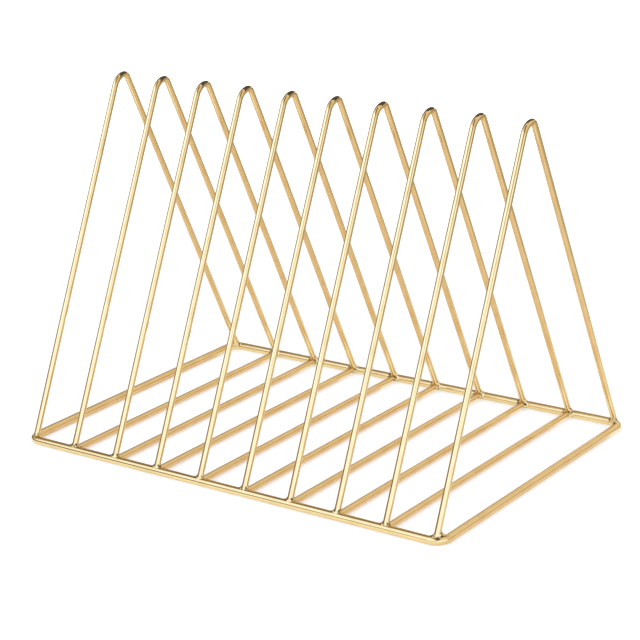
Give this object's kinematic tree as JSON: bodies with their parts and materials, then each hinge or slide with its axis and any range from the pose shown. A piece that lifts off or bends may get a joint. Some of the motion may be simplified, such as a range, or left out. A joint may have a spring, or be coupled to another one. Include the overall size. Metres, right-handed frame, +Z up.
{
  "type": "magazine rack",
  "caption": "Triangular wire magazine rack: a row of upside-down V dividers stands on a rectangular base ring and parts open slots for magazines, files or records.",
  "frame": {"origin": "under the middle of the base ring, on the surface that the rack stands on", "axes": "+X along the row of dividers to the right as seen from the front, -Y to the front, +Z up"},
  "size_m": [0.305, 0.21, 0.213],
  "materials": {
    "plated_ring_wire": "polished",
    "plated_divider_wire": "polished",
    "plated_cross_wire": "polished",
    "plated_weld": "polished"
  },
  "bodies": {
    "root": {"base_ring": "plated_ring_wire", "divider_01": "plated_divider_wire", "divider_02": "plated_divider_wire", "divider_03": "plated_divider_wire", "divider_04": "plated_divider_wire", "divider_05": "plated_divider_wire", "divider_06": "plated_divider_wire", "divider_07": "plated_divider_wire", "divider_08": "plated_divider_wire", "divider_09": "plated_divider_wire", "divider_10": "plated_divider_wire", "cross_wire_02": "plated_cross_wire", "cross_wire_03": "plated_cross_wire", "cross_wire_04": "plated_cross_wire", "cross_wire_05": "plated_cross_wire", "cross_wire_06": "plated_cross_wire", "cross_wire_07": "plated_cross_wire", "cross_wire_08": "plated_cross_wire", "cross_wire_09": "plated_cross_wire", "front_weld_01": "plated_weld", "rear_weld_01": "plated_weld", "front_weld_02": "plated_weld", "rear_weld_02": "plated_weld", "front_weld_03": "plated_weld", "rear_weld_03": "plated_weld", "front_weld_04": "plated_weld", "rear_weld_04": "plated_weld", "front_weld_05": "plated_weld", "rear_weld_05": "plated_weld", "front_weld_06": "plated_weld", "rear_weld_06": "plated_weld", "front_weld_07": "plated_weld", "rear_weld_07": "plated_weld", "front_weld_08": "plated_weld", "rear_weld_08": "plated_weld", "front_weld_09": "plated_weld", "rear_weld_09": "plated_weld", "front_weld_10": "plated_weld", "rear_weld_10": "plated_weld"}
  },
  "joints": []
}
